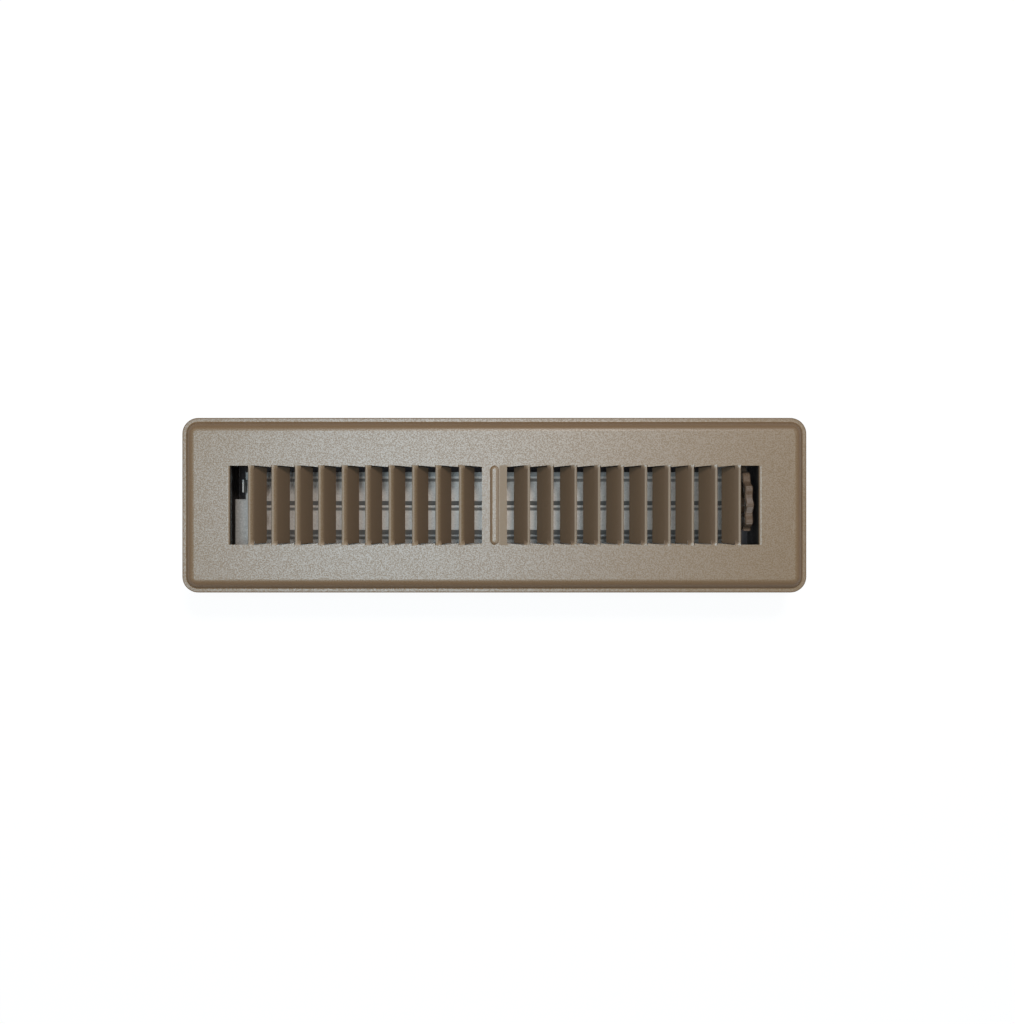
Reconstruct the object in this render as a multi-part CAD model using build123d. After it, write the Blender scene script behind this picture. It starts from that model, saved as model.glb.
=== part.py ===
from build123d import *
from math import cos, pi, radians, sin, tan
import os

os.makedirs("parts", exist_ok=True)

# All sizes in millimetres. X runs along the register, Y across it, Z up out of the floor.
# Z = 0 is the floor: the underside of the faceplate's lip.

# Sheet stock
plate_t = 1.0
wall_t = 0.8
pan_t = 0.8
vane_t = 0.7
link_t = 0.7

# Fits
fixed_fit = 0.01        # radial, rivet shank in a sheet it is set into
turning_fit = 0.06      # radial, shank in a hole that turns on it
side_play = 0.10        # axial, between pieces that turn on each other
lap_gap = 0.15          # between lapped edges of the closed damper

# Faceplate outline and rim
end_overhang = 21.05    # plate past the inside of the box at each end
side_overhang = 21.45   # plate past the inside of the box at each side
plate_corner_r = 8.7
face_z = 5.0            # top of the flat face
lip_w = 2.3             # flat lip that lies on the floor
rim_deg = 55.0          # slope of the rim above the lip
shoulder_r = 4.5        # rounded shoulder from rim to face
foot_r = 0.6            # inside bend between lip and rim
lip_edge_r = 0.5        # broken outer edge of the lip

# Louver field
blade_pitch = 12.7
land_half = 6.76        # half width of the plain land in the middle
slit_neck_y = 21.9      # half height of the field at the neck side of a slit
slit_deep_y = 20.7      # half height of the field at the deep side of a slit
slit_gap = 0.4          # daylight at the end of a blade
neck_w = 3.6            # width of sheet left holding each end of a blade
neck_len = 2.6          # length over which a neck twists
neck_root = 0.4         # bite of a neck into face and blade
neck_skin = 0.04        # a neck is drawn this much thinner than the sheet on each side
edge_setback = 0.85     # high edge of a blade, in from the end of its strip
edge_rise = 0.3         # high edge of a blade, above the face

# Blade section: one gentle curve, from the high edge down
blade_len = 12.35
blade_top_deg = 43.0
blade_low_deg = 59.0

# Slot at each end of the field, with its outer edge turned down
wall_past_slot = 6.0    # from the slot's outer edge to the inside of the end wall
slot_min = 9.4          # least width of the slot
slot_half_y = 21.4
slot_bend_r = 1.5
slot_skirt = 4.6        # depth of the turned-down edge

# Bead across the centre land
bead_wid = 5.6
bead_len = 43.7
bead_h = 1.3
bead_taper = 38.0
bead_crest_r = 1.6

# Damper box
box_half_x = 149.2      # inside of the end walls
box_half_y = 26.2       # inside of the side walls
box_bottom_z = -38.0
lead_in_h = 6.0         # sloped bottom edge that guides the box into the duct
lead_in = 1.2
weld_flange = 6.8       # top flange, from the inside of the wall outwards
wall_bend_r = 0.5
corner_tab_len = 8.2    # tab of an end wall that laps a side wall
corner_tab_z = (-18.0, -4.0)

# Corner rivets
rivet_r = 1.5
rivet_head_r = 2.5
rivet_head_h = 0.9
rivet_chamfer = 0.5
rivet_inset = 4.2       # from the inside of the end wall
rivet_zs = (-14.5, -7.5)

# Damper axes: wheel in the middle, one vane on each side
axis_z = -18.0
vane_pitch = 16.4
turn_deg = 80.0         # closed to fully open
crank_r = 11.0

# Damper pan
pan_z = -22.8           # top of the pan
pan_end_gap = 1.8       # from the pan's left end to the end wall
pan_flange_h = 5.0
pan_corner_r = 1.4
pan_edge_r = 1.0
ledge_rear_y = 15.9     # inner edge of the rear ledge
ledge_slot_y = (19.0, 23.6)     # open slot along the rear ledge
ledge_bridge = 6.0      # sheet left across that slot, in the middle and at its right end
ledge_front_y = -19.7   # start of the raised lip of the front ledge
lip_start = 0.4         # raised lip of the front ledge: flat, ramp, flat
lip_ramp = 1.8
lip_flat = 1.0
bearing_to_wheel = 6.3  # inner face of a bearing flange, in from the wheel
bearing_half_y = 13.4
bearing_above = 5.0     # above the axes
bearing_corner_r = 3.0
mouth_gap = 0.5         # between a vane's end and the pan
notch_from_wall = 8.3
notch_y = (3.5, 22.0)
tab_y = (7.3, 14.5)     # upright locating tab beside the notch
tab_h = 8.6

# Vane section, about its own axis
vane_front_y = -9.1
vane_break_y = -5.6     # where the front edge starts to bend down
vane_droop = 1.8
vane_joggle_y = (5.3, 7.1)
vane_lip_y = 8.3
vane_bend_r = 0.4
vane_end_gap = 1.4      # from a vane's end to its bearing flange
ear_r = 4.0
crank_ear_r = 2.6

# Pivot rivets of the vanes
pivot_r = 1.6
pivot_head_r = 2.7
pivot_head_h = 0.9
spacer_r = 3.4

# Crank pins and link bar
pin_r = 1.3
pin_head_r = 2.1
pin_head_h = 0.6
pin_back_r = 1.8
pin_back_h = 0.8
link_gap = 0.3          # from the bearing flange to the link bar
link_half_h = 2.4

# Thumb wheel
wheel_r = 22.8
wheel_inset = 4.6       # middle of the rim, in from the slot's outer edge
rim_w = 4.2
rim_inner_r = 18.3
rim_edge_r = 0.5
wheel_web_t = 1.6
crank_disc_r = 14.0
hub_r = 4.4
hub_inward = 4.6        # ends of the hub, from the middle of the rim
hub_outward = 1.2
sector_deg = (-42.0, 100.0)     # from straight up, positive towards the rear
lobes_per_turn = 14
lobe_h = 2.2

# Wheel axle and its spring washer
axle_r = 2.0
axle_head_r = 3.3
axle_head_h = 0.9
axle_cap_r = 3.9
axle_cap_h = 1.2
axle_cap_edge_r = 0.8
washer_r = 4.9
washer_t = 0.35

pick = 1e-4             # tolerance when edges are picked by their level

# Derived sizes and positions
plate_len = 2 * (box_half_x + end_overhang)
plate_wid = 2 * (box_half_y + side_overhang)
slot_x = box_half_x - wall_past_slot
blades_per_bank = int((slot_x - slot_min - land_half) / blade_pitch)
bank_end_x = land_half + blade_pitch * blades_per_bank
rivet_x = box_half_x - rivet_inset
pan_left = -box_half_x + pan_end_gap
notch_x = -box_half_x + notch_from_wall
wheel_x = slot_x - wheel_inset
hub_x = (wheel_x - hub_inward, wheel_x + hub_outward)
bearing_x = wheel_x - bearing_to_wheel
bearing_out = bearing_x + pan_t
link_x = bearing_out + link_gap
vane_end_x = bearing_x - vane_end_gap
ear_x = vane_end_x - vane_t
vane_ys = (vane_pitch / 2, -vane_pitch / 2)
crank_y = -crank_r * sin(radians(turn_deg / 2))
crank_z = -crank_r * cos(radians(turn_deg / 2))
panel_z = pan_z - axis_z
lip_rise = vane_t + lap_gap


def bent_sheet(points, bend_r, thickness, side):
    """Section of a sheet that follows the given corners on one face."""
    path = FilletPolyline(*points, radius=bend_r)
    return make_face(offset(path, amount=thickness, side=side, kind=Kind.INTERSECTION))


def along_x(section, x_from, x_to):
    """Section drawn in Y and Z, drawn out between two stations on X."""
    return extrude(Plane.YZ.offset(x_from) * section, x_to - x_from)


def cylinder_x(radius, x_from, x_to, y, z):
    return along_x(Pos(y, z) * Circle(radius), x_from, x_to)


def block(x_range, y_range, z_range):
    middle = [(low + high) / 2 for low, high in (x_range, y_range, z_range)]
    size = [high - low for low, high in (x_range, y_range, z_range)]
    return Pos(*middle) * Box(*size)


def edges_at(shape, axis, level):
    return shape.edges().filter_by_position(axis, level - pick, level + pick)


def blade_point(distance, depth=0.0):
    """Point of the blade's section from its high edge, by distance along it and depth in the sheet."""
    top = radians(blade_top_deg)
    radius = blade_len / radians(blade_low_deg - blade_top_deg)
    slope = top + distance / radius
    x = -radius * (sin(slope) - sin(top)) + depth * sin(slope)
    z = -radius * (cos(top) - cos(slope)) - depth * cos(slope)
    return x, z


def blade_section():
    stations = (0, blade_len / 2, blade_len)
    upper = [blade_point(station) for station in stations]
    lower = [blade_point(station, plate_t) for station in stations]
    sides = [Line(upper[0], lower[0]), Line(upper[-1], lower[-1])]
    return make_face([ThreePointArc(*upper), ThreePointArc(*lower), *sides])


def neck_profile(points, y):
    return make_face(Polyline(*[(x, y, z) for x, z in points], close=True))


def make_neck(high_x, strip_end_x):
    """Twisted strip from the flat face to the rear end of a blade."""
    stations = (neck_skin, neck_w / 2, neck_w - neck_skin)
    upper = []
    lower = []
    for station in stations:
        for depth, line in ((neck_skin, upper), (plate_t - neck_skin, lower)):
            x, z = blade_point(station, depth)
            line.append((high_x + x, face_z + edge_rise + z))
    flat_upper = [(strip_end_x - station, face_z - neck_skin) for station in stations]
    flat_lower = [(strip_end_x - station, face_z - plate_t + neck_skin) for station in stations]
    at_face = neck_profile(flat_upper + flat_lower[::-1], slit_neck_y + neck_root)
    at_blade = neck_profile(upper + lower[::-1], slit_neck_y - neck_len - neck_root)
    return loft([at_face, at_blade], ruled=True)


def make_blade(strip_end_x):
    """Blade of the right-hand bank, hung by a neck at each end."""
    low_x = blade_point(blade_len)[0]
    high_x = strip_end_x - edge_setback
    place = Pos(high_x, 0, face_z + edge_rise)
    sheet = place * extrude(Plane.XZ * blade_section(), slit_neck_y, both=True)
    neck_x = high_x + blade_point(neck_w)[0]
    neck_y = slit_neck_y - neck_len
    slope = (slit_neck_y - slit_deep_y) / blade_pitch
    tip_y = slit_neck_y - slit_gap - slope * (strip_end_x - neck_x)
    deep_y = slit_neck_y - slit_gap - slope * (strip_end_x - high_x - low_x + plate_t)
    outer_x = high_x + plate_t
    inner_x = high_x + low_x - plate_t
    half = [(outer_x, neck_y), (neck_x, neck_y), (neck_x, tip_y), (inner_x, deep_y)]
    outline = half + [(x, -y) for x, y in half[::-1]]
    plan = make_face(Polyline(*outline, close=True))
    sheet &= extrude(plan, plate_wid, both=True)
    neck = make_neck(high_x, strip_end_x)
    return sheet + neck + mirror(neck, Plane.XZ)


def field_window():
    """Plan of everything lanced out on the right-hand side of the land."""
    edge = []
    for strip in range(blades_per_bank):
        inner_x = land_half + blade_pitch * strip
        edge.append((inner_x, slit_deep_y))
        edge.append((inner_x + blade_pitch, slit_neck_y))
    edge.append((bank_end_x, slot_half_y))
    edge.append((slot_x + slot_bend_r, slot_half_y))
    outline = edge + [(x, -y) for x, y in edge[::-1]]
    return make_face(Polyline(*outline, close=True))


def rim_block(inset, height, edge_r):
    """Block with sloped sides and a rounded top edge, set in from the plate's outline."""
    outline = RectangleRounded(plate_len - 2 * inset, plate_wid - 2 * inset, plate_corner_r - inset)
    raised = extrude(outline, height, taper=90 - rim_deg)
    return fillet(edges_at(raised, Axis.Z, height), edge_r)


def make_faceplate():
    lip = extrude(RectangleRounded(plate_len, plate_wid, plate_corner_r), plate_t)
    lip = fillet(edges_at(lip, Axis.Z, plate_t), lip_edge_r)
    foot = lip_w - plate_t / tan(radians(rim_deg))
    body = lip + rim_block(foot, face_z, shoulder_r)
    inner_edges = [
        edge for edge in edges_at(body, Axis.Z, plate_t)
        if abs(edge.center().X) < plate_len / 2 - lip_w + foot_r
        and abs(edge.center().Y) < plate_wid / 2 - lip_w + foot_r
    ]
    body = fillet(inner_edges, foot_r)
    body -= rim_block(foot + plate_t / sin(radians(rim_deg)), face_z - plate_t, shoulder_r - plate_t)

    window = extrude(field_window(), 2 * face_z)
    body -= [window, mirror(window, Plane.YZ)]

    bead = Rot(0, 0, 90) * SlotOverall(bead_len, bead_wid)
    crown = Pos(0, 0, face_z - plate_t / 2) * extrude(bead, bead_h + plate_t / 2, taper=bead_taper)
    crown = fillet(edges_at(crown, Axis.Z, face_z + bead_h), bead_crest_r)
    under = Pos(0, 0, -plate_t) * crown
    body = body + crown - under

    skirt_points = [
        (slot_x + slot_bend_r + plate_t, face_z),
        (slot_x, face_z),
        (slot_x, face_z - slot_skirt),
    ]
    skirt = bent_sheet(skirt_points, slot_bend_r, plate_t, Side.LEFT)
    skirt = extrude(Plane.XZ * skirt, slot_half_y, both=True)
    pieces = [skirt]
    blade = make_blade(land_half + blade_pitch)
    for strip in range(blades_per_bank):
        pieces.append(Pos(blade_pitch * strip, 0, 0) * blade)
    pieces += [mirror(piece, Plane.YZ) for piece in pieces]
    return body.fuse(*pieces)


def wall_section(inside):
    """Wall with its weld flange on top and a sloped lead-in at the bottom."""
    points = [
        (inside + weld_flange, face_z - plate_t),
        (inside, face_z - plate_t),
        (inside, box_bottom_z + lead_in_h),
        (inside - lead_in, box_bottom_z),
    ]
    return bent_sheet(points, wall_bend_r, wall_t, Side.LEFT)


def rivet_places():
    return [(x, z) for x in (-rivet_x, rivet_x) for z in rivet_zs]


def rivet_holes(y_from, y_to):
    hole = Circle(rivet_r + fixed_fit)
    return [
        extrude(Plane.XZ.offset(-y_from) * Pos(x, z) * hole, y_from - y_to)
        for x, z in rivet_places()
    ]


def make_side_wall():
    half_len = box_half_x + wall_t
    wall = along_x(wall_section(box_half_y), -half_len, half_len)
    return wall - rivet_holes(box_half_y - wall_t, box_half_y + 2 * wall_t)


def make_end_wall():
    half_wid = box_half_y
    wall = extrude(Plane.XZ * wall_section(box_half_x), half_wid, both=True)
    for side in (-1, 1):
        low_edge = sorted((side * (half_wid - lead_in - wall_t), side * (half_wid + wall_t)))
        below = (box_bottom_z - wall_t, box_bottom_z + lead_in_h + wall_t)
        wall -= block((box_half_x - 2 * lead_in, box_half_x + 2 * wall_t), low_edge, below)
        tab = sorted((side * (half_wid - wall_t), side * half_wid))
        wall += block((box_half_x - corner_tab_len, box_half_x + wall_t), tab, corner_tab_z)
    for y_from in (-box_half_y - wall_t, box_half_y - 2 * wall_t):
        wall -= rivet_holes(y_from, y_from + 3 * wall_t)
    return wall


def make_corner_rivets():
    """Eight rivets, two to a corner, with a head on each side."""
    inner = box_half_y - wall_t
    outer = box_half_y + wall_t
    shank = Pos(0, 0, inner) * extrude(Circle(rivet_r), outer - inner)
    head = extrude(Circle(rivet_head_r), rivet_head_h)
    head = chamfer(edges_at(head, Axis.Z, rivet_head_h), rivet_chamfer)
    tail = Pos(0, 0, inner) * mirror(head, Plane.XY)
    rivet = shank + Pos(0, 0, outer) * head + tail
    rivets = []
    for x, z in rivet_places():
        rivets.append(Pos(x, 0, z) * Rot(-90, 0, 0) * rivet)
        rivets.append(Pos(x, 0, z) * Rot(90, 0, 0) * rivet)
    return Compound(children=rivets)


def bearing_flange(holes):
    """Upright flange of the pan as a face in Y and Z, with its top corners rounded."""
    low_z = pan_z - pan_t
    height = axis_z + bearing_above - low_z
    flange = Pos(0, low_z + height / 2) * RectangleRounded(2 * bearing_half_y, height, bearing_corner_r)
    flange += Pos(0, low_z + bearing_corner_r / 2) * Rectangle(2 * bearing_half_y, bearing_corner_r)
    for y, radius in holes:
        flange -= Pos(y, axis_z) * Circle(radius + fixed_fit)
    return flange


def make_damper_pan():
    length = bearing_out - pan_left
    middle = (bearing_out + pan_left) / 2
    sheet = RectangleRounded(length, 2 * box_half_y, pan_corner_r)
    tray = Pos(middle, 0, pan_z) * extrude(sheet, -pan_flange_h)
    tray = fillet(edges_at(tray, Axis.Z, pan_z), pan_edge_r)
    below = (pan_z - 2 * pan_flange_h, pan_z - pan_t)
    hollow_y = (-box_half_y + pan_t, box_half_y - pan_t)
    tray -= block((pan_left + pan_t, bearing_out + pan_t), hollow_y, below)
    tray -= block((bearing_x, bearing_out + pan_t), (-plate_wid, plate_wid), (below[0], pan_z + pan_t))

    mouth_x = vane_end_x + mouth_gap
    through = (pan_z - 2 * pan_t, pan_z + pan_t)
    tray -= block((-bearing_x, mouth_x), (ledge_front_y, ledge_rear_y), through)
    tray -= block((pan_left - pan_t, notch_x), notch_y, (below[0], pan_z + pan_t))
    tray -= block((pan_left + pan_t, -ledge_bridge / 2), ledge_slot_y, through)
    tray -= block((ledge_bridge / 2, bearing_x - ledge_bridge), ledge_slot_y, through)

    lip_top = pan_z + lip_rise
    ramp_y = ledge_front_y + lip_start
    lip_points = [
        (ledge_front_y - pan_t, pan_z),
        (ramp_y, pan_z),
        (ramp_y + lip_ramp, lip_top),
        (ramp_y + lip_ramp + lip_flat, lip_top),
    ]
    lip = along_x(bent_sheet(lip_points, vane_bend_r, vane_t, Side.RIGHT), -bearing_x, mouth_x)

    pivot_holes = [(y, pivot_r) for y in vane_ys]
    right_bearing = along_x(bearing_flange([(0, axle_r), *pivot_holes]), bearing_x, bearing_out)
    left_bearing = along_x(bearing_flange(pivot_holes), -bearing_out, -bearing_x)

    tab = block((notch_x, notch_x + pan_t), tab_y, (pan_z - pan_t, pan_z + tab_h))
    return tray.fuse(lip, right_bearing, left_bearing, tab)


def vane_section():
    points = [
        (vane_front_y, panel_z - vane_droop),
        (vane_break_y, panel_z),
        (vane_joggle_y[0], panel_z),
        (vane_joggle_y[1], panel_z + lip_rise),
        (vane_lip_y, panel_z + lip_rise),
    ]
    return bent_sheet(points, vane_bend_r, vane_t, Side.RIGHT)


def make_vane(axis_y):
    """Lapped vane with a pivot ear at each end and a crank ear at the right."""
    vane = along_x(vane_section(), -vane_end_x, vane_end_x)
    ear = Circle(ear_r) + Pos(0, panel_z / 2 - vane_t / 2) * Rectangle(2 * ear_r, -panel_z + vane_t)
    ear -= Circle(pivot_r + turning_fit)
    crank_outline = [
        (crank_y + crank_ear_r, panel_z - vane_t / 2),
        (vane_front_y + vane_t, panel_z - vane_droop - vane_t / 2),
        (crank_y - crank_ear_r, crank_z),
        (crank_y + crank_ear_r, crank_z),
    ]
    crank = make_face(Polyline(*crank_outline, close=True))
    crank += Pos(crank_y, crank_z) * Circle(crank_ear_r)
    crank -= Pos(crank_y, crank_z) * Circle(pin_r + fixed_fit)
    vane = vane.fuse(
        along_x(ear, ear_x, vane_end_x),
        along_x(ear, -vane_end_x, -ear_x),
        along_x(crank, ear_x, vane_end_x),
    )
    return Pos(0, axis_y, axis_z) * vane


def make_vane_pivots():
    """Four shouldered rivets, set in the bearing flanges."""
    pivots = []
    for y in vane_ys:
        inner = ear_x - side_play
        pivot = cylinder_x(pivot_r, inner, bearing_out, y, axis_z)
        pivot += cylinder_x(pivot_head_r, inner - pivot_head_h, inner, y, axis_z)
        pivot += cylinder_x(pivot_head_r, bearing_out, bearing_out + pivot_head_h, y, axis_z)
        pivots += [pivot, mirror(pivot, Plane.YZ)]
    return Compound(children=pivots)


def make_vane_spacers():
    """Four plain washers between the vane ears and the bearing flanges."""
    spacers = []
    for y in vane_ys:
        ring = Pos(y, axis_z) * (Circle(spacer_r) - Circle(pivot_r + fixed_fit))
        spacer = along_x(ring, vane_end_x + side_play, bearing_x)
        spacers += [spacer, mirror(spacer, Plane.YZ)]
    return Compound(children=spacers)


def rim_point(angle_deg):
    """Point of the scalloped rim about the axle, in Y and Z."""
    angle = radians(angle_deg)
    radius = wheel_r - lobe_h * (1 - cos(lobes_per_turn * angle)) / 2
    return radius * sin(angle), radius * cos(angle)


def wheel_outline():
    """Scalloped sector about the axle: one smooth curve through each crest, hollow and flank."""
    first, last = sector_deg
    quarter = 90 / lobes_per_turn
    marks = [quarter * index for index in range(-2 * lobes_per_turn, 2 * lobes_per_turn)]
    stops = [first, *[angle for angle in marks if first + pick < angle < last - pick], last]
    rim = Spline(*[rim_point(angle) for angle in stops])
    return make_face([rim, Line(rim_point(last), (0, 0)), Line((0, 0), rim_point(first))])


def make_thumb_wheel():
    sector = wheel_outline()
    rim_from = wheel_x - rim_w / 2
    web_from = wheel_x - wheel_web_t / 2
    place = Pos(0, axis_z)
    rim = along_x(place * (sector - Circle(rim_inner_r)), rim_from, rim_from + rim_w)
    crests = [
        edge for x in (rim_from, rim_from + rim_w)
        for edge in edges_at(rim, Axis.X, x)
        if edge.geom_type == GeomType.BSPLINE
    ]
    rim = chamfer(crests, rim_edge_r)
    web = place * (sector & Circle(rim_inner_r + rim_edge_r))
    web = along_x(web, web_from, web_from + wheel_web_t)
    disc = along_x(place * Circle(crank_disc_r), web_from, web_from + wheel_web_t)
    hub = cylinder_x(hub_r, *hub_x, 0, axis_z)
    wheel = rim.fuse(web, disc, hub)
    wheel -= cylinder_x(axle_r + turning_fit, hub_x[0] - pan_t, hub_x[1] + pan_t, 0, axis_z)
    return wheel - cylinder_x(
        pin_r + fixed_fit, web_from - pan_t, web_from + 2 * wheel_web_t, crank_y, axis_z + crank_z
    )


def make_wheel_axle():
    axle = cylinder_x(axle_r, bearing_x, hub_x[1] + side_play, 0, axis_z)
    axle += cylinder_x(axle_head_r, bearing_x - axle_head_h, bearing_x, 0, axis_z)
    cap_from = hub_x[1] + side_play
    cap = cylinder_x(axle_cap_r, cap_from, cap_from + axle_cap_h, 0, axis_z)
    return axle + chamfer(edges_at(cap, Axis.X, cap_from + axle_cap_h), axle_cap_edge_r)


def make_friction_washer():
    """Dished spring washer: outer edge on the pan, inner edge against the hub."""
    crown = hub_x[0] - side_play - bearing_out
    inner_r = axle_r + fixed_fit
    section = [
        (inner_r, crown - washer_t),
        (inner_r, crown),
        (washer_r, washer_t),
        (washer_r, 0),
    ]
    ring = revolve(Plane.XZ * make_face(Polyline(*section, close=True)), Axis.Z)
    return Pos(bearing_out, 0, axis_z) * Rot(0, 90, 0) * ring


def make_link_bar():
    bar = SlotCenterToCenter(vane_pitch, 2 * link_half_h)
    for y in (0, *vane_ys):
        bar -= Pos(y, 0) * Circle(pin_r + turning_fit)
    return along_x(Pos(crank_y, axis_z + crank_z) * bar, link_x, link_x + link_t)


def make_vane_pin(axis_y):
    y = axis_y + crank_y
    z = axis_z + crank_z
    tip = link_x + link_t + side_play
    pin = cylinder_x(pin_r, ear_x, tip, y, z)
    pin += cylinder_x(pin_back_r, ear_x - pin_back_h, ear_x, y, z)
    pin += cylinder_x(pin_head_r, vane_end_x, link_x - side_play, y, z)
    return pin + cylinder_x(pin_head_r, tip, tip + pin_head_h, y, z)


def make_wheel_pin():
    y = crank_y
    z = axis_z + crank_z
    web_from = wheel_x - wheel_web_t / 2
    web_to = web_from + wheel_web_t
    tip = link_x - side_play
    pin = cylinder_x(pin_r, tip, web_to, y, z)
    pin += cylinder_x(pin_back_r, web_to, web_to + pin_back_h, y, z)
    pin += cylinder_x(pin_head_r, link_x + link_t + side_play, web_from, y, z)
    return pin + cylinder_x(pin_head_r, tip - pin_head_h, tip, y, z)


side_wall = make_side_wall()
end_wall = make_end_wall()
rear_y, front_y = vane_ys

nodes = {
    "faceplate": make_faceplate(),
    "rear_side_wall": side_wall,
    "front_side_wall": mirror(side_wall, Plane.XZ),
    "right_end_wall": end_wall,
    "left_end_wall": mirror(end_wall, Plane.YZ),
    "corner_rivets": make_corner_rivets(),
    "damper_pan": make_damper_pan(),
    "rear_vane": make_vane(rear_y),
    "front_vane": make_vane(front_y),
    "vane_pivots": make_vane_pivots(),
    "vane_spacers": make_vane_spacers(),
    "thumb_wheel": make_thumb_wheel(),
    "wheel_axle": make_wheel_axle(),
    "friction_washer": make_friction_washer(),
    "link_bar": make_link_bar(),
    "wheel_crank_pin": make_wheel_pin(),
    "rear_crank_pin": make_vane_pin(rear_y),
    "front_crank_pin": make_vane_pin(front_y),
}

for name, shape in nodes.items():
    export_step(shape, f"parts/{name}.step")
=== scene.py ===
"""Finish and stage for a two-way louvered floor register with a thumb-wheel damper."""

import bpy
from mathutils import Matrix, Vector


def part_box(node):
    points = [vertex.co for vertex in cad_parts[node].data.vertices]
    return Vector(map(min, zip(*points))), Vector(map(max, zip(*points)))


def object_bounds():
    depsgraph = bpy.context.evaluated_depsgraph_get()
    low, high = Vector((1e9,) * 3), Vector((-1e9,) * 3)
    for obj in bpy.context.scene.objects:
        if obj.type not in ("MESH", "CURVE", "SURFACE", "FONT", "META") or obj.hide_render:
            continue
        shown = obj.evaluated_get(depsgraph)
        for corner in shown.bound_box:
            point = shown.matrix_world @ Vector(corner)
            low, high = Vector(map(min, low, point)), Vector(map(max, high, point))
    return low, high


bl_info = {
    "name": "Floor register finish",
    "version": (1, 0, 0),
    "blender": (4, 5, 0),
    "location": "3D View > Sidebar > Register",
    "description": "Gives a louvered floor register its powder coat, its zinc fittings and a studio stage",
    "category": "Material",
}

from functools import partial
from math import cos, radians, sin

import bpy
from bpy.props import FloatProperty, FloatVectorProperty, PointerProperty

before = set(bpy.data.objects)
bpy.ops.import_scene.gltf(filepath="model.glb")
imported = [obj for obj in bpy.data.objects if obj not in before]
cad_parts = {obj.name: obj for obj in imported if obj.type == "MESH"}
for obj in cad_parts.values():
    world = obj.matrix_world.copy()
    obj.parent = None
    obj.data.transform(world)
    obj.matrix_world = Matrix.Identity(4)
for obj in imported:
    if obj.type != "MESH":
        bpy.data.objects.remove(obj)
cad_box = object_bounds()

IMAGE_SIZE = (1015, 1024)           # pixels of the picture, wide and high
SENSOR = 36.0                       # millimetres along the picture's long side
FLOOR_STEPS = 96                    # sides of the round floor
COVE_STEPS = 10                     # steps of the curve from floor to wall
SHADE_PATCH_LIFT = 0.0003                  # metres from the floor up to the patch of painted shade
SHADE_PATCH_INSET = 0.008                  # patch of painted shade in from the outside of the box, flanges included

# Faceplate, in metres
CORNER_RADIUS = 0.0087              # outer corner in plan
BEAD_HEIGHT = 0.0013                # top of the bead above the flat face
FACE_SLACK = 0.00005                # how far above the flat face still counts as face
FIELD_HALF = (0.1460, 0.0216)       # louver field, half its length and width
BANK_REACH = (0.0066, 0.1345)       # louver bank, from its inner to its outer end
LAND_HALF = 0.0072                  # half the width of the centre land

# Each pair is where a finish begins to change, and where it has changed.
LIP_SHADE_INSET = (0.0009, 0.0002)         # inset from the plate's edge: painted shade on the edge of the lip
RIM_FOOT = (0.0023, 0.0036)         # inset: painted shade up the slope of the rim
RIM_SHOULDER = (0.0080, 0.0048)     # inset: painted shade from the face down over the shoulder of the rim
LOUVER_SHADE_DEPTH = (-0.0006, 0.0016)    # depth below the face: painted shade down a louver
LOUVER_HIGHLIGHT_DEPTH = (0.0006, -0.0001)     # depth: painted highlight at a louver's high edge
SLOT_SHADE_DEPTH = (0.0003, 0.0016)       # depth: painted shade down the turned edge of an end slot
CROWN_HIGHLIGHT_RISE = (0.0009, 0.00125)      # height above the face: painted highlight on the crown of the bead
LAND_STRIP = (0.0018, 0.0032)       # distance to the right of the middle: dull on the centre land
STEEP_RISE = (0.985, 0.86)          # upward share of the normal: a steep flank
BEAD_TURN = (0.1, 0.5)              # rightward share of the normal: the bead's right flank, which gets painted highlight
CREST_BAND = (0.54, 0.74)           # level of the fine noise: a crest of the grain
HOLLOW_BAND = (0.46, 0.26)          # level of the fine noise: a hollow of the grain
FILM_BAND = (0.36, 0.64)            # level of the fine noise: the clear film

LOUVER_SHADE_SHIFT = 0.0012                # how much lower the painted shade starts on louvers that face the right end
CROWN_HIGHLIGHT_SHARE = 0.15                  # how far the painted highlight pales the bead's crown
BEAD_HIGHLIGHT_SHARE = 0.7                    # how far the painted highlight pales the bead's right flank
BEAD_SHADE_SHARE = 0.6                     # share of the painted shade kept on the bead's flanks
DRIFT_SCALE = 0.09                  # scale of the slow drift in the gloss, as a share of the grain's
GRAIN_RELIEF = 0.8                  # strength of the grain's relief
DULL_SHARE = 0.6                    # how far a patch of the zinc plate may dull
PLATE_SPREAD = (-0.1, 0.14)         # how far the plate's roughness goes down and up
SCRATCH_DEPTH = 0.00001             # depth of the drawing marks, in metres
SCRATCH_RELIEF = 0.5                # strength of their relief

FACE = ("faceplate",)
BOX = ("rear_side_wall", "front_side_wall", "left_end_wall", "right_end_wall")
PAN = ("damper_pan",)
VANES = ("rear_vane", "front_vane")
WHEEL = ("thumb_wheel",)
ZINC = (
    "corner_rivets",
    "vane_pivots",
    "vane_spacers",
    "wheel_axle",
    "friction_washer",
    "link_bar",
    "wheel_crank_pin",
    "rear_crank_pin",
    "front_crank_pin",
)


def colour_property(name, description, default):
    """Linear colour."""
    return FloatVectorProperty(
        name=name, description=description, default=default, subtype="COLOR", size=3, min=0.0, max=1.0
    )


def share_property(name, description, default):
    """Share from 0 to 1."""
    return FloatProperty(
        name=name, description=description, default=default, subtype="FACTOR", min=0.0, max=1.0
    )


def length_property(name, description, default):
    """Length in metres."""
    return FloatProperty(
        name=name, description=description, default=default, unit="LENGTH", precision=5, min=0.0
    )


def place_property(name, description, default):
    """Coordinate in metres."""
    return FloatProperty(name=name, description=description, default=default, unit="LENGTH", precision=4)


def power_property(name, description, default):
    """Power in watts."""
    return FloatProperty(name=name, description=description, default=default, unit="POWER", min=0.0)


def film_property(default):
    """Refractive index of a clear film."""
    return FloatProperty(
        name="Film", description="Refractive index of the clear top film", default=default, min=1.0
    )


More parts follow.
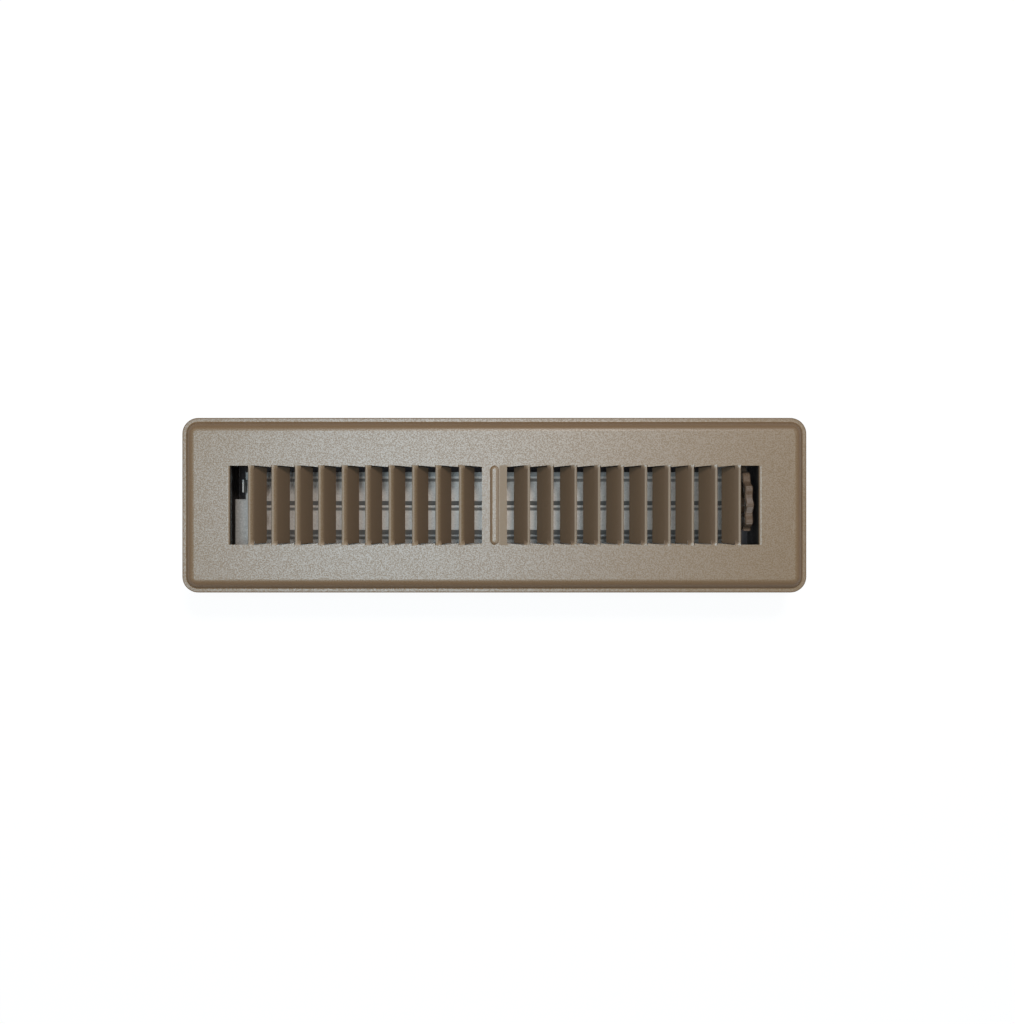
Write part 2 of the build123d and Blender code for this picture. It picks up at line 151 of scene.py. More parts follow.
class CoatSettings(bpy.types.PropertyGroup):
    """Taupe powder coat of the faceplate, with colours for its painted shade and painted highlight."""

    colour: colour_property("Colour", "Body colour of the powder coat", (0.244, 0.153, 0.077))
    speck_dark: colour_property("Dark specks", "Colour of the hollows in the coat", (0.234, 0.146, 0.073))
    speck_light: colour_property("Light specks", "Colour of the crests in the coat", (0.254, 0.160, 0.081))
    # Painted shade: darker colour on the rim's slope, the lip's outer edge and steep flanks outside the
    # louver banks
    rim: colour_property("Rim", "Colour on the drawn rim and other steep flanks", (0.182, 0.104, 0.050))
    # Painted shade: darker colour down the louvers, deepening below the face
    louver_shade: colour_property(
        "Thin coat", "Colour down the louvers, as painted shade", (0.152, 0.096, 0.057)
    )
    # Painted shade: near-black colour down the turned sides of the end slots
    slot: colour_property(
        "Slot edges", "Colour down the turned edges of the end slots", (0.055, 0.050, 0.042)
    )
    # Painted highlight: pale colour along the louvers' high sides and on the bead's crown and right flank
    edge: colour_property("Edges", "Colour along the high edges of the louvers", (0.40, 0.306, 0.224))
    grain: length_property("Grain", "Width of one grain of the coat", 0.00069)
    depth: length_property("Grain depth", "Height of the grain", 0.00008)
    roughness: share_property("Roughness", "Roughness of the cured coat", 0.42)
    roughness_spread: share_property("Roughness spread", "How far the roughness varies", 0.05)
    specular: share_property("Specular", "Strength of the body's mirror reflection", 0.40)
    gloss: share_property("Gloss", "Least share of the clear top film", 0.23)
    glint: share_property("Glint", "Share of the film that comes and goes with the grain", 0.80)
    film: film_property(1.75)


class WheelSettings(bpy.types.PropertyGroup):
    """Smoother taupe coat of the thumb wheel."""

    colour: colour_property("Colour", "Body colour of the wheel", (0.145, 0.092, 0.060))
    speck_dark: colour_property("Dark specks", "Colour of the hollows in the coat", (0.110, 0.068, 0.043))
    speck_light: colour_property("Light specks", "Colour of the crests in the coat", (0.185, 0.122, 0.084))
    grain: length_property("Grain", "Width of one grain of the coat", 0.0009)
    depth: length_property("Grain depth", "Height of the grain", 0.00003)
    roughness: share_property("Roughness", "Roughness of the cured coat", 0.13)
    roughness_spread: share_property("Roughness spread", "How far the roughness varies", 0.05)
    specular: share_property("Specular", "Strength of the coat's mirror reflection", 0.6)
    gloss: share_property("Gloss", "Least share of the clear top film", 0.3)
    glint: share_property("Glint", "Share of the film that comes and goes with the grain", 0.3)
    film: film_property(1.6)


class BoxSettings(bpy.types.PropertyGroup):
    """Dark matt paint of the damper box, whose darkness also stands in for the shade inside the box
    (painted shade).
    """

    colour: colour_property("Colour", "Body colour of the box", (0.095, 0.078, 0.070))
    speck_dark: colour_property("Dark specks", "Colour of the hollows in the paint", (0.070, 0.057, 0.051))
    speck_light: colour_property("Light specks", "Colour of the crests in the paint", (0.130, 0.110, 0.098))
    grain: length_property("Grain", "Width of one grain of the paint", 0.0009)
    depth: length_property("Grain depth", "Height of the grain", 0.00007)
    roughness: share_property("Roughness", "Roughness of the paint", 0.56)
    roughness_spread: share_property("Roughness spread", "How far the roughness varies", 0.10)
    specular: share_property("Specular", "Strength of the paint's mirror reflection", 0.45)
    gloss: share_property("Gloss", "Least share of the clear top film", 0.0)
    glint: share_property("Glint", "Share of the film that comes and goes with the grain", 0.1)
    film: film_property(1.5)


class PanSettings(bpy.types.PropertyGroup):
    """Grey coat of the damper pan."""

    colour: colour_property("Colour", "Body colour of the pan", (0.42, 0.385, 0.35))
    speck_dark: colour_property("Dark specks", "Colour of the hollows in the coat", (0.33, 0.30, 0.27))
    speck_light: colour_property("Light specks", "Colour of the crests in the coat", (0.52, 0.475, 0.435))
    # Painted shade: darker colour down the pan's bent sides
    flank: colour_property("Flanks", "Colour down the bent edges, as painted shade", (0.17, 0.155, 0.14))
    grain: length_property("Grain", "Width of one grain of the coat", 0.0009)
    depth: length_property("Grain depth", "Height of the grain", 0.00008)
    roughness: share_property("Roughness", "Roughness of the pan", 0.5)
    roughness_spread: share_property("Roughness spread", "How far the roughness varies", 0.12)
    specular: share_property("Specular", "Strength of the coat's mirror reflection", 0.4)
    gloss: share_property("Gloss", "Least share of the clear top film", 0.0)
    glint: share_property("Glint", "Share of the film that comes and goes with the grain", 0.2)
    film: film_property(1.5)
    metallic: share_property("Metallic", "How far the zinc shows through the coat", 0.15)


class VaneSettings(bpy.types.PropertyGroup):
    """Grey coat of the damper vanes, painted paler than the pan's to make up for the shade of the louvers
    above them (painted light).
    """

    # Painted light: the vanes' colours are lightened to make up for the louvers' shade
    colour: colour_property("Colour", "Body colour of the vanes", (0.79, 0.68, 0.59))
    speck_dark: colour_property("Dark specks", "Colour of the hollows in the coat", (0.67, 0.57, 0.49))
    speck_light: colour_property("Light specks", "Colour of the crests in the coat", (0.90, 0.79, 0.69))
    # Painted shade: darker colour down the steps of the laps
    flank: colour_property(
        "Flanks", "Colour down the steps of the laps, as painted shade", (0.20, 0.185, 0.17)
    )
    grain: length_property("Grain", "Width of one grain of the coat", 0.0008)
    depth: length_property("Grain depth", "Height of the grain", 0.00008)
    roughness: share_property("Roughness", "Roughness of the vanes", 0.46)
    roughness_spread: share_property("Roughness spread", "How far the roughness varies", 0.12)
    specular: share_property("Specular", "Strength of the coat's mirror reflection", 0.35)
    gloss: share_property("Gloss", "Least share of the clear top film", 0.0)
    glint: share_property("Glint", "Share of the film that comes and goes with the grain", 0.3)
    film: film_property(1.5)
    metallic: share_property("Metallic", "How far the zinc shows through the coat", 0.10)


class ZincSettings(bpy.types.PropertyGroup):
    """Zinc plate of rivets, pins, washers and the link bar."""

    colour: colour_property("Colour", "Colour of the zinc plate", (0.60, 0.61, 0.62))
    dull: colour_property("Dull colour", "Colour where the plate has dulled", (0.36, 0.36, 0.36))
    spangle: length_property("Spangle", "Width of one patch of the plate", 0.0011)
    scratch: length_property("Scratch", "Spacing of the fine drawing marks", 0.00022)
    roughness: share_property("Roughness", "Roughness of the plate", 0.38)


class StageSettings(bpy.types.PropertyGroup):
    """Floor, camera and lamps."""

    floor_radius: length_property("Floor radius", "Radius of the floor and of the wall round it", 3.0)
    cove_radius: length_property("Cove radius", "Radius of the curve from floor to wall", 0.6)
    wall_height: length_property("Wall height", "Height of the wall round the floor", 3.0)
    floor_colour: colour_property("Floor colour", "Colour of the floor", (0.45, 0.45, 0.45))
    floor_glow: share_property("Floor glow", "Share of white that the floor shows to the camera", 0.92)
    floor_shade: colour_property(
        "Floor shade", "Part of the floor's white that shadows take away", (0.12, 0.12, 0.12)
    )
    # Painted shade: dark patch of floor inside the box, where the floor would get little light
    under_box_shade: colour_property(
        "Shade under box", "Colour of the painted shade under the box", (0.14, 0.115, 0.11)
    )
    view_scale: length_property("View scale", "Size of one picture element at the floor lip", 0.0005463)
    view_x: place_property("Picture centre X", "Middle of the picture, along the register", 0.0072)
    view_y: place_property("Picture centre Y", "Middle of the picture, across it", -0.0037)
    lens: FloatProperty(
        name="Lens", description="Focal length in millimetres", default=36.0, unit="CAMERA", min=1.0
    )
    shift_x: FloatProperty(name="Shift", description="Sideways lens shift", default=0.03)
    lamp_height: length_property("Lamp height", "Height of the lamps above the floor lip", 1.3)
    key_size: length_property("Key width", "Width of the key lamp", 0.24)
    key_x: place_property("Key X", "Key lamp, along the register", 0.15)
    key_y: place_property("Key Y", "Key lamp, across the register", 0.60)
    key_power: power_property("Key power", "Power of the key lamp", 9.2)
    key_colour: colour_property("Key colour", "Colour of the key and overhead light", (1.0, 0.98, 0.95))
    softbox_width: length_property("Softbox width", "Length of the softbox, along the register", 0.50)
    softbox_depth: length_property("Softbox depth", "Width of the softbox, across the register", 0.40)
    softbox_x: place_property("Softbox X", "Softbox, along the register", -0.19)
    softbox_y: place_property("Softbox Y", "Softbox, across the register", 0.0)
    softbox_power: power_property("Softbox power", "Power of the softbox", 8.85)
    softbox_colour: colour_property("Softbox colour", "Colour of the softbox", (0.65, 0.855, 1.0))
    overhead_width: length_property("Overhead width", "Length of the broad overhead light", 1.4)
    overhead_depth: length_property("Overhead depth", "Width of the broad overhead light", 1.0)
    overhead_power: power_property("Overhead power", "Power of the broad overhead light", 2.5)
    fill: FloatProperty(
        name="Fill", description="Strength of the light from all round", default=0.05, min=0.0
    )
    fill_colour: colour_property("Fill colour", "Colour of the light from all round", (1.0, 0.97, 0.93))


def node_tree(material):
    """Empty node tree of a material, with its output."""
    material.use_nodes = True
    tree = material.node_tree
    tree.nodes.clear()
    return tree, tree.nodes.new("ShaderNodeOutputMaterial")


def add_node(tree, kind, settings=None, **values):
    """New node with its settings and unlinked input values."""
    node = tree.nodes.new(kind)
    for name, value in (settings or {}).items():
        setattr(node, name, value)
    for name, value in values.items():
        node.inputs[name.replace("_", " ")].default_value = value
    return node


def opaque(colour):
    """Colour with full alpha."""
    return (*colour, 1.0)


def math_node(tree, operation, first, second=None):
    """Result of a math node on sockets or numbers."""
    node = add_node(tree, "ShaderNodeMath", {"operation": operation})
    for socket, value in zip(node.inputs, (first, second)):
        if isinstance(value, bpy.types.NodeSocket):
            tree.links.new(value, socket)
        elif value is not None:
            socket.default_value = value
    return node.outputs[0]


def smooth_step(tree, value, start, end):
    """Share that rises from 0 at start to 1 at end."""
    step = add_node(
        tree, "ShaderNodeMapRange", {"interpolation_type": "SMOOTHSTEP"}, From_Min=start, From_Max=end
    )
    tree.links.new(value, step.inputs["Value"])
    return step.outputs["Result"]


def spread(tree, share, low, high):
    """Number that goes from low to high with a share."""
    level = add_node(tree, "ShaderNodeMapRange", To_Min=low, To_Max=high)
    tree.links.new(share, level.inputs["Value"])
    return level.outputs["Result"]


def mix_colours(tree, share, first, second):
    """Colour that goes from the first, a colour or a socket, to the second with a share."""
    node = add_node(tree, "ShaderNodeMix", {"data_type": "RGBA"})
    tree.links.new(share, node.inputs["Factor"])
    start, end = (socket for socket in node.inputs if socket.type == "RGBA")
    if isinstance(first, bpy.types.NodeSocket):
        tree.links.new(first, start)
    else:
        start.default_value = opaque(first)
    end.default_value = opaque(second)
    return next(socket for socket in node.outputs if socket.type == "RGBA")


def add_relief(tree, shader, height, distance, strength):
    """Relief on a shader's surface from a height socket."""
    bump = add_node(tree, "ShaderNodeBump", Distance=distance, Strength=strength)
    tree.links.new(height, bump.inputs["Height"])
    tree.links.new(bump.outputs["Normal"], shader.inputs["Normal"])


def new_group(name, inputs, outputs):
    """Shader node group with float inputs given as name and default, and float outputs."""
    group = bpy.data.node_groups.new(name, "ShaderNodeTree")
    for socket, default in inputs:
        made = group.interface.new_socket(name=socket, in_out="INPUT", socket_type="NodeSocketFloat")
        made.default_value = default
    for socket in outputs:
        group.interface.new_socket(name=socket, in_out="OUTPUT", socket_type="NodeSocketFloat")
    return group, group.nodes.new("NodeGroupInput"), group.nodes.new("NodeGroupOutput")


def grain_group():
    """Pebbled grain of a coat: its crests, hollows, clear film and height, and a slow drift."""
    name = "Coat grain"
    if name in bpy.data.node_groups:
        return bpy.data.node_groups[name]
    group, given, made = new_group(
        name, [("Grain", 0.0006)], ["Crest", "Hollow", "Film", "Drift", "Height"]
    )
    link = group.links.new
    where = add_node(group, "ShaderNodeTexCoord")
    scale = math_node(group, "DIVIDE", 1.0, given.outputs["Grain"])
    fine = add_node(group, "ShaderNodeTexNoise", Detail=1.5, Roughness=0.55)
    link(where.outputs["Object"], fine.inputs["Vector"])
    link(scale, fine.inputs["Scale"])
    broad = add_node(group, "ShaderNodeTexNoise", Detail=3.0, Roughness=0.6)
    link(where.outputs["Object"], broad.inputs["Vector"])
    link(math_node(group, "MULTIPLY", scale, DRIFT_SCALE), broad.inputs["Scale"])
    for socket, band in (("Crest", CREST_BAND), ("Hollow", HOLLOW_BAND), ("Film", FILM_BAND)):
        link(smooth_step(group, fine.outputs["Fac"], *band), made.inputs[socket])
    link(broad.outputs["Fac"], made.inputs["Drift"])
    link(fine.outputs["Fac"], made.inputs["Height"])
    return group


def steep_group():
    """Steepness of a surface against the piece's own upright, which turns with the piece."""
    name = "Steep flanks"
    if name in bpy.data.node_groups:
        return bpy.data.node_groups[name]
    group, given, made = new_group(name, [("Flat", STEEP_RISE[0]), ("Full", STEEP_RISE[1])], ["Steep"])
    link = group.links.new
    where = add_node(group, "ShaderNodeTexCoord")
    normal = add_node(group, "ShaderNodeSeparateXYZ")
    link(where.outputs["Normal"], normal.inputs["Vector"])
    step = add_node(group, "ShaderNodeMapRange", {"interpolation_type": "SMOOTHSTEP"})
    link(given.outputs["Flat"], step.inputs["From Min"])
    link(given.outputs["Full"], step.inputs["From Max"])
    link(math_node(group, "ABSOLUTE", normal.outputs["Z"]), step.inputs["Value"])
    link(step.outputs["Result"], made.inputs["Steep"])
    return group


def edge_inset(group, along, across):
    """Distance in from the plate's outline, which has round corners."""
    calc = partial(math_node, group)
    past_x = calc("SUBTRACT", along, cad_box[1].x - CORNER_RADIUS)
    past_y = calc("SUBTRACT", across, cad_box[1].y - CORNER_RADIUS)
    round_x = calc("POWER", calc("MAXIMUM", past_x, 0.0), 2.0)
    round_y = calc("POWER", calc("MAXIMUM", past_y, 0.0), 2.0)
    corner = calc("SQRT", calc("ADD", round_x, round_y))
    side = calc("MINIMUM", calc("MAXIMUM", past_x, past_y), 0.0)
    return calc("SUBTRACT", CORNER_RADIUS, calc("ADD", corner, side))


def painted_light_group():
    """Masks of painted shade and painted highlight on the faceplate, and where its clear film stays:
    painted shade down the rim's slope, on the lip's outer rim, on steep flanks, down the louvers and down
    the end slots' turned sides; painted highlight at the louvers' high sides and on the bead's crown and
    right flank; the film is taken off the shaded rim, flanks and louvers and a strip of the centre land.
    """
    name = "Thin coat"
    if name in bpy.data.node_groups:
        return bpy.data.node_groups[name]
    group, given, made = new_group(name, [("Steep", 0.0)], ["Rim", "Louver", "Edge", "Slot", "Full"])
    link = group.links.new
    calc = partial(math_node, group)
    step = partial(smooth_step, group)
    where = add_node(group, "ShaderNodeTexCoord")
    axes = add_node(group, "ShaderNodeSeparateXYZ")
    link(where.outputs["Object"], axes.inputs["Vector"])
    normal = add_node(group, "ShaderNodeSeparateXYZ")
    link(where.outputs["Normal"], normal.inputs["Vector"])
    along = calc("ABSOLUTE", axes.outputs["X"])
    across = calc("ABSOLUTE", axes.outputs["Y"])
    height = axes.outputs["Z"]
    rightward = normal.outputs["X"]
    steep = given.outputs["Steep"]
    face = cad_box[1].z - BEAD_HEIGHT

    # Rim: painted shade on its slope and on the edge of the lip
    inset = edge_inset(group, along, across)
    slope = calc("MULTIPLY", step(inset, *RIM_FOOT), step(inset, *RIM_SHOULDER))
    rim = calc("MAXIMUM", slope, step(inset, *LIP_SHADE_INSET))

    # Louver banks and end slots: painted shade down the louvers, starting lower on louvers that face the
    # right end, and down the slots' turned sides; painted highlight at the louvers' high sides
    within_x = calc("LESS_THAN", along, FIELD_HALF[0])
    within = calc("MULTIPLY", within_x, calc("LESS_THAN", across, FIELD_HALF[1]))
    field = calc("MULTIPLY", within, calc("GREATER_THAN", along, BANK_REACH[0]))
    sloped = calc("MULTIPLY", field, steep)
    drift = calc("MULTIPLY", calc("LESS_THAN", along, BANK_REACH[1]), LOUVER_SHADE_SHIFT)
    shade_level = calc("ADD", height, calc("MULTIPLY", rightward, drift))
    louver = calc("MULTIPLY", sloped, step(shade_level, *(face - depth for depth in LOUVER_SHADE_DEPTH)))
    edge = calc("MULTIPLY", sloped, step(height, *(face - depth for depth in LOUVER_HIGHLIGHT_DEPTH)))
    slot = calc("MULTIPLY", sloped, calc("GREATER_THAN", along, BANK_REACH[1]))
    slot = calc("MULTIPLY", slot, step(height, *(face - depth for depth in SLOT_SHADE_DEPTH)))

    # Centre land right of the bead
    strip = calc("LESS_THAN", axes.outputs["X"], LAND_HALF)
    strip = calc("MULTIPLY", step(axes.outputs["X"], *LAND_STRIP), strip)
    flat = calc("MULTIPLY", within, calc("LESS_THAN", height, face + FACE_SLACK))
    land = calc("MULTIPLY", strip, flat)

    # Bead: painted highlight on its crown and right flank
    bead = calc("GREATER_THAN", height, face + FACE_SLACK)
    bead = calc("MULTIPLY", calc("SUBTRACT", within, field), bead)
    crown = calc("MULTIPLY", step(height, *(face + rise for rise in CROWN_HIGHLIGHT_RISE)), CROWN_HIGHLIGHT_SHARE)
    turned = calc("MULTIPLY", steep, step(rightward, *BEAD_TURN))
    pale = calc("MAXIMUM", crown, calc("MULTIPLY", turned, BEAD_HIGHLIGHT_SHARE))
    pale = calc("MULTIPLY", bead, pale)

    # Painted shade on steep flanks outside the banks, less of it on the bead
    kept = calc("SUBTRACT", 1.0, calc("MULTIPLY", bead, 1.0 - BEAD_SHADE_SHARE))
    bare = calc("MULTIPLY", steep, calc("SUBTRACT", 1.0, field))
    drawn = calc("MAXIMUM", rim, calc("MULTIPLY", bare, kept))

    dull = calc("MAXIMUM", calc("MAXIMUM", drawn, louver), land)
    link(drawn, made.inputs["Rim"])
    link(louver, made.inputs["Louver"])
    link(calc("MAXIMUM", edge, pale), made.inputs["Edge"])
    link(slot, made.inputs["Slot"])
    link(calc("SUBTRACT", 1.0, dull), made.inputs["Full"])
    return group


def coat_material(name, settings, metallic=0.0):
    """Coat with grain in its colour, gloss and relief, and painted shade and painted highlight where its
    settings carry them.
    """
    material = bpy.data.materials.new(name)
    tree, output = node_tree(material)
    link = tree.links.new
    coat = add_node(
        tree,
        "ShaderNodeBsdfPrincipled",
        Metallic=metallic,
        Specular_IOR_Level=settings.specular,
        Coat_Roughness=settings.roughness,
        Coat_IOR=settings.film,
    )
    link(coat.outputs["BSDF"], output.inputs["Surface"])
    grain = add_node(tree, "ShaderNodeGroup", {"node_tree": grain_group()}, Grain=settings.grain)
    colour = mix_colours(tree, grain.outputs["Hollow"], settings.colour, settings.speck_dark)
    colour = mix_colours(tree, grain.outputs["Crest"], colour, settings.speck_light)
    film = spread(tree, grain.outputs["Film"], settings.gloss, settings.gloss + settings.glint)
    # Faceplate: painted shade and painted highlight mixed into the colour from the masks; the film is kept
    # where the masks leave it full
    if hasattr(settings, "louver_shade"):
        steep = add_node(tree, "ShaderNodeGroup", {"node_tree": steep_group()})
        light_masks = add_node(tree, "ShaderNodeGroup", {"node_tree": painted_light_group()})
        link(steep.outputs["Steep"], light_masks.inputs["Steep"])
        colour = mix_colours(tree, light_masks.outputs["Rim"], colour, settings.rim)
        colour = mix_colours(tree, light_masks.outputs["Louver"], colour, settings.louver_shade)
        colour = mix_colours(tree, light_masks.outputs["Edge"], colour, settings.edge)
        colour = mix_colours(tree, light_masks.outputs["Slot"], colour, settings.slot)
        film = math_node(tree, "MULTIPLY", film, light_masks.outputs["Full"])
    elif hasattr(settings, "flank"):
        # Damper: painted shade down steep flanks
        steep = add_node(tree, "ShaderNodeGroup", {"node_tree": steep_group()})
        colour = mix_colours(tree, steep.outputs["Steep"], colour, settings.flank)
    link(colour, coat.inputs["Base Color"])
    link(film, coat.inputs["Coat Weight"])
    smoothest = settings.roughness - settings.roughness_spread
    roughest = settings.roughness + settings.roughness_spread
    link(spread(tree, grain.outputs["Drift"], smoothest, roughest), coat.inputs["Roughness"])
    add_relief(tree, coat, grain.outputs["Height"], settings.depth, GRAIN_RELIEF)
    return material


def zinc_material(settings):
    """Zinc plate with dull patches and fine drawing marks."""
    material = bpy.data.materials.new("Zinc plate")
    tree, output = node_tree(material)
    link = tree.links.new
    plate = add_node(tree, "ShaderNodeBsdfPrincipled", Metallic=1.0)
    link(plate.outputs["BSDF"], output.inputs["Surface"])
    where = add_node(tree, "ShaderNodeTexCoord")
    patches = add_node(tree, "ShaderNodeTexVoronoi", Scale=1.0 / settings.spangle)
    link(where.outputs["Object"], patches.inputs["Vector"])
    tone = add_node(tree, "ShaderNodeSeparateColor")
    link(patches.outputs["Color"], tone.inputs["Color"])
    dulled = math_node(tree, "MULTIPLY", tone.outputs["Red"], DULL_SHARE)
    link(mix_colours(tree, dulled, settings.colour, settings.dull), plate.inputs["Base Color"])
    smoothest, roughest = (settings.roughness + change for change in PLATE_SPREAD)
    link(spread(tree, tone.outputs["Green"], smoothest, roughest), plate.inputs["Roughness"])
    marks = add_node(tree, "ShaderNodeTexNoise", Scale=1.0 / settings.scratch, Detail=2.0)
    link(where.outputs["Object"], marks.inputs["Vector"])
    add_relief(tree, plate, marks.outputs["Fac"], SCRATCH_DEPTH, SCRATCH_RELIEF)
    return material


def dress(names, material):
    """Gives CAD nodes their finish."""
    for name in names:
        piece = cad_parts[name]
        piece.data.materials.clear()
        piece.data.materials.append(material)


class REGISTER_OT_coat_face(bpy.types.Operator):
    """Give the faceplate its powder coat, with painted shade and painted highlight"""

    bl_idname = "register.coat_face"
    bl_label = "Coat faceplate"

    def execute(self, context):
        dress(FACE, coat_material("Taupe powder coat", context.scene.register_coat))
        return {"FINISHED"}


class REGISTER_OT_paint_box(bpy.types.Operator):
    """Give the walls of the damper box their dark paint, which also stands in for the shade inside the box
    """

    bl_idname = "register.paint_box"
    bl_label = "Paint damper box"

    def execute(self, context):
        dress(BOX, coat_material("Dark box paint with painted shade", context.scene.register_box))
        return {"FINISHED"}


class REGISTER_OT_coat_wheel(bpy.types.Operator):
    """Give the thumb wheel its smoother coat"""

    bl_idname = "register.coat_wheel"
    bl_label = "Coat thumb wheel"

    def execute(self, context):
        dress(WHEEL, coat_material("Wheel coat", context.scene.register_wheel))
        return {"FINISHED"}


class REGISTER_OT_coat_damper(bpy.types.Operator):
    """Give the damper pan and the vanes their grey coats, the vanes' painted paler to make up for the
    louvers' shade, with painted shade down steep flanks
    """

    bl_idname = "register.coat_damper"
    bl_label = "Coat damper"

    def execute(self, context):
        pan = context.scene.register_pan
        vanes = context.scene.register_vanes
        dress(PAN, coat_material("Grey pan coat", pan, pan.metallic))
        dress(VANES, coat_material("Vane coat with painted light", vanes, vanes.metallic))
        return {"FINISHED"}


class REGISTER_OT_plate_fittings(bpy.types.Operator):
    """Give rivets, pins, washers and the link bar their zinc plate"""

    bl_idname = "register.plate_fittings"
    bl_label = "Plate fittings"

    def execute(self, context):
        dress(ZINC, zinc_material(context.scene.register_zinc))
        return {"FINISHED"}


def shade_patch_material(settings):
    """Dark patch under the damper box: painted shade for the floor there."""
    material = bpy.data.materials.new("Painted shade under box")
    tree, output = node_tree(material)
    dark = add_node(tree, "ShaderNodeBsdfDiffuse", Color=opaque(settings.under_box_shade))
    tree.links.new(dark.outputs["BSDF"], output.inputs["Surface"])
    return material


def floor_material(settings):
    """Pale floor and wall: white to the camera, with the shadow kept."""
    material = bpy.data.materials.new("Pale floor")
    tree, output = node_tree(material)
    link = tree.links.new
    paper = add_node(tree, "ShaderNodeBsdfDiffuse", Color=opaque(settings.floor_colour))
    shade = add_node(tree, "ShaderNodeBsdfDiffuse", Color=opaque(settings.floor_shade))
    glow = add_node(tree, "ShaderNodeEmission", Strength=settings.floor_glow)
    white = add_node(tree, "ShaderNodeAddShader")
    link(shade.outputs["BSDF"], white.inputs[0])
    link(glow.outputs["Emission"], white.inputs[1])
    path = add_node(tree, "ShaderNodeLightPath")
    seen = path.outputs["Is Camera Ray"]
    for name in ("Is Glossy Ray", "Is Transmission Ray"):
        seen = math_node(tree, "MAXIMUM", seen, path.outputs[name])
    choice = add_node(tree, "ShaderNodeMixShader")
    link(seen, choice.inputs["Fac"])
    link(paper.outputs["BSDF"], choice.inputs[1])
    link(white.outputs["Shader"], choice.inputs[2])
    link(choice.outputs["Shader"], output.inputs["Surface"])
    return material


def stage_piece(name, points, faces, material):
    """Mesh of the stage, which isn't part of the register."""
    mesh = bpy.data.meshes.new(name)
    mesh.from_pydata(points, [], faces)
    mesh.materials.append(material)
    piece = bpy.data.objects.new(name, mesh)
    bpy.context.scene.collection.objects.link(piece)


def make_floor(settings):
    """Round floor at the foot of the box, curving up into a wall."""
    level = cad_box[0].z
    reach = settings.floor_radius
    cove = settings.cove_radius
    bends = [radians(90.0 * step / COVE_STEPS) for step in range(COVE_STEPS + 1)]
    profile = [(reach - cove + cove * sin(bend), cove - cove * cos(bend)) for bend in bends]
    profile.append((reach, settings.wall_height))
    turns = [radians(360.0 * step / FLOOR_STEPS) for step in range(FLOOR_STEPS)]
    points = [(r * cos(turn), r * sin(turn), level + z) for r, z in profile for turn in turns]
    faces = [tuple(range(FLOOR_STEPS))]
    for ring in range(len(profile) - 1):
        for step in range(FLOOR_STEPS):
            low = ring * FLOOR_STEPS + step
            low_next = ring * FLOOR_STEPS + (step + 1) % FLOOR_STEPS
            faces.append((low_next, low, low + FLOOR_STEPS, low_next + FLOOR_STEPS))
    stage_piece("floor", points, faces, floor_material(settings))


def make_shade_patch(settings):
    """Dark patch of floor inside the damper box, as painted shade."""
    level = cad_box[0].z + SHADE_PATCH_LIFT
    half_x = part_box("right_end_wall")[1].x - SHADE_PATCH_INSET
    half_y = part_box("rear_side_wall")[1].y - SHADE_PATCH_INSET
    corners = [(-half_x, -half_y), (half_x, -half_y), (half_x, half_y), (-half_x, half_y)]
    points = [(x, y, level) for x, y in corners]
    stage_piece("under_box_shade_patch", points, [(0, 1, 2, 3)], shade_patch_material(settings))


def make_world(settings):
    """Even light from all round."""
    world = bpy.data.worlds.new("Studio")
    bpy.context.scene.world = world
    world.use_nodes = True
    tree = world.node_tree
    tree.nodes.clear()
    output = tree.nodes.new("ShaderNodeOutputWorld")
    fill = add_node(
        tree, "ShaderNodeBackground", Color=opaque(settings.fill_colour), Strength=settings.fill
    )
    tree.links.new(fill.outputs["Background"], output.inputs["Surface"])


def make_lamp(name, size, place, power, colour):
    """Lamp overhead that faces straight down."""
    lamp = bpy.data.lights.new(name, "AREA")
    lamp.shape = "RECTANGLE"
    lamp.size, lamp.size_y = size
    lamp.energy = power
    lamp.color = colour
    holder = bpy.data.objects.new(name, lamp)
    holder.location = place
    bpy.context.scene.collection.objects.link(holder)


def make_camera(settings):
    """Camera straight above, with the picture's top towards +Y."""
    view_long = settings.view_scale * max(IMAGE_SIZE)
    camera = bpy.data.cameras.new("camera")
    camera.sensor_width = SENSOR
    camera.lens = settings.lens
    camera.shift_x = settings.shift_x
    holder = bpy.data.objects.new("camera", camera)
    height = view_long * settings.lens / SENSOR
    holder.location = (settings.view_x - settings.shift_x * view_long, settings.view_y, height)
    bpy.context.scene.collection.objects.link(holder)
    bpy.context.scene.camera = holder


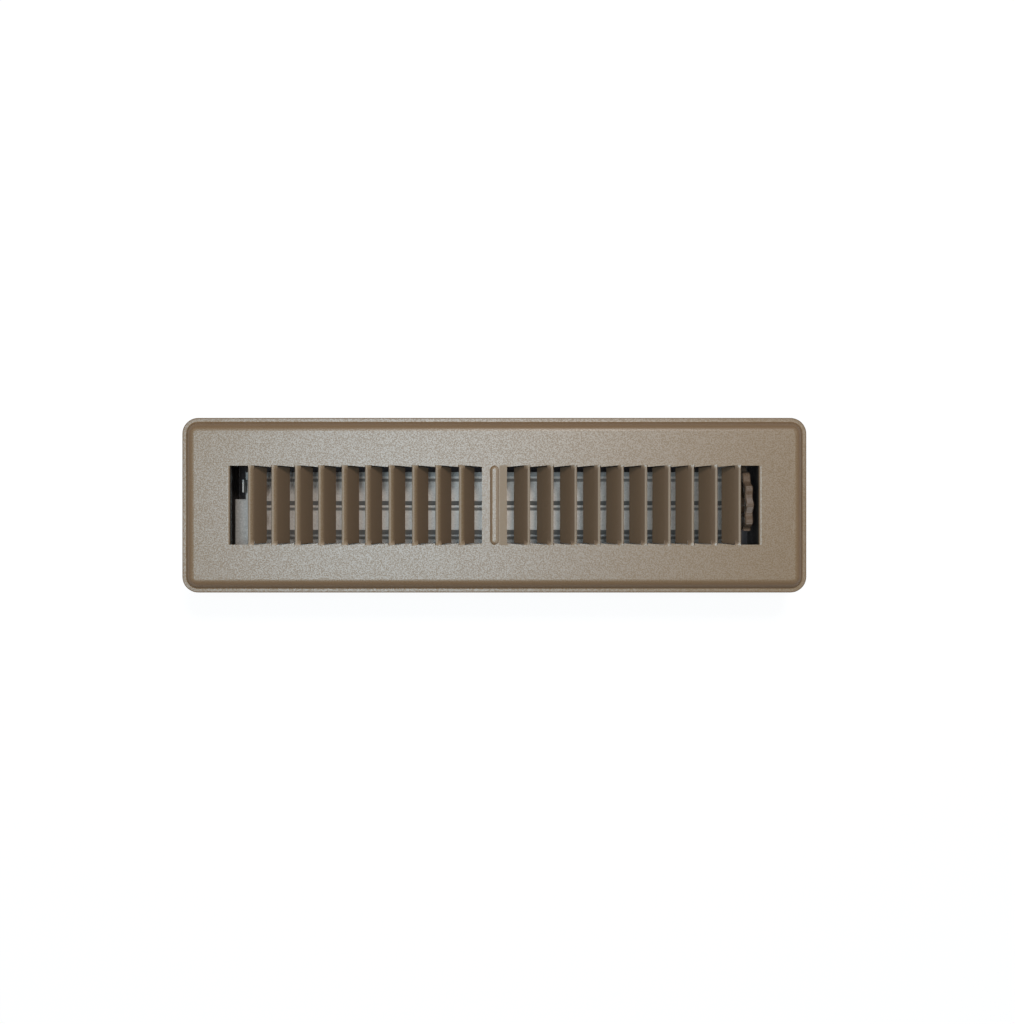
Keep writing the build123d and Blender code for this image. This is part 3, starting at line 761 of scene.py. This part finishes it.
class REGISTER_OT_stage(bpy.types.Operator):
    """Set up the floor, the lamps and the camera"""

    bl_idname = "register.stage"
    bl_label = "Set the stage"

    def execute(self, context):
        settings = context.scene.register_stage
        make_floor(settings)
        make_world(settings)
        make_shade_patch(settings)
        key_size = (settings.key_size, settings.key_size)
        key_place = (settings.key_x, settings.key_y, settings.lamp_height)
        make_lamp("key_lamp", key_size, key_place, settings.key_power, settings.key_colour)
        softbox_size = (settings.softbox_width, settings.softbox_depth)
        softbox_place = (settings.softbox_x, settings.softbox_y, settings.lamp_height)
        make_lamp(
            "softbox", softbox_size, softbox_place, settings.softbox_power, settings.softbox_colour
        )
        overhead_size = (settings.overhead_width, settings.overhead_depth)
        overhead_place = (0.0, 0.0, settings.lamp_height)
        make_lamp("overhead", overhead_size, overhead_place, settings.overhead_power, settings.key_colour)
        make_camera(settings)
        context.scene.view_settings.view_transform = "Standard"
        return {"FINISHED"}


OPERATORS = (
    REGISTER_OT_coat_face,
    REGISTER_OT_paint_box,
    REGISTER_OT_coat_wheel,
    REGISTER_OT_coat_damper,
    REGISTER_OT_plate_fittings,
    REGISTER_OT_stage,
)
SETTINGS = {
    "register_coat": CoatSettings,
    "register_box": BoxSettings,
    "register_wheel": WheelSettings,
    "register_pan": PanSettings,
    "register_vanes": VaneSettings,
    "register_zinc": ZincSettings,
    "register_stage": StageSettings,
}


class REGISTER_PT_panel(bpy.types.Panel):
    """Settings and steps of the register's finish"""

    bl_idname = "REGISTER_PT_panel"
    bl_label = "Floor register"
    bl_space_type = "VIEW_3D"
    bl_region_type = "UI"
    bl_category = "Register"

    def draw(self, context):
        layout = self.layout
        for operator in OPERATORS:
            layout.operator(operator.bl_idname)
        for pointer in SETTINGS:
            settings = getattr(context.scene, pointer)
            box = layout.box()
            for name in settings.bl_rna.properties.keys():
                if name not in {"rna_type", "name"}:
                    box.prop(settings, name)


def register():
    for settings in SETTINGS.values():
        bpy.utils.register_class(settings)
    for pointer, settings in SETTINGS.items():
        setattr(bpy.types.Scene, pointer, PointerProperty(type=settings))
    for cls in (*OPERATORS, REGISTER_PT_panel):
        bpy.utils.register_class(cls)


def unregister():
    for cls in (REGISTER_PT_panel, *reversed(OPERATORS)):
        bpy.utils.unregister_class(cls)
    for pointer, settings in SETTINGS.items():
        delattr(bpy.types.Scene, pointer)
        bpy.utils.unregister_class(settings)


def main():
    register()
    bpy.ops.register.coat_face()
    bpy.ops.register.paint_box()
    bpy.ops.register.coat_wheel()
    bpy.ops.register.coat_damper()
    bpy.ops.register.plate_fittings()
    bpy.ops.register.stage()


if __name__ == "__main__":
    main()
